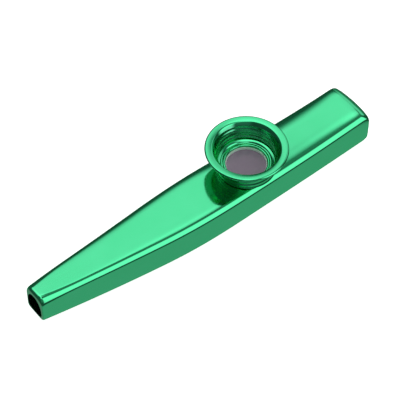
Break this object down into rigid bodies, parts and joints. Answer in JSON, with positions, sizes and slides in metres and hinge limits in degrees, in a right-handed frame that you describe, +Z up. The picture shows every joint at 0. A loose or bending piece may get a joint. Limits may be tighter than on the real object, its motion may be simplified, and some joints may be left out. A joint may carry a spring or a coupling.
{
  "type": "kazoo",
  "caption": "Metal kazoo: a flattened, tapered tube with a screw-down turret cup that clamps a buzzing membrane over a port in its top.",
  "frame": {"origin": "middle of the tube's length and width, on the surface that the kazoo rests on", "axes": "+X along the tube towards its wide mouth end, +Z up through the turret, +Y to the side"},
  "size_m": [0.122, 0.0254, 0.0207],
  "materials": {
    "green_anodised": "polished, dyed green",
    "film": "thin clear film",
    "hoop_plastic": "translucent"
  },
  "bodies": {
    "tube": {"body_tube": "green_anodised", "turret_base": "green_anodised", "membrane_film": "film", "membrane_hoop": "hoop_plastic"},
    "ring": {"clamp_ring": "green_anodised"},
    "cup": {"turret_cup": "green_anodised"}
  },
  "joints": [
    {"name": "cup_lift", "type": "slide", "parent": "tube", "child": "ring", "axis": [0, 0, 1], "range_m": [0, 0.00112]},
    {"name": "cup_turn", "type": "hinge", "parent": "ring", "child": "cup", "pos_m": [0.0175, 0, 0.012], "axis": [0, 0, 1], "range_deg": [0, 271]}
  ],
  "couplings": [
    {"joint": "cup_turn", "follows": "cup_lift", "rad_per_m": 4188.8}
  ]
}
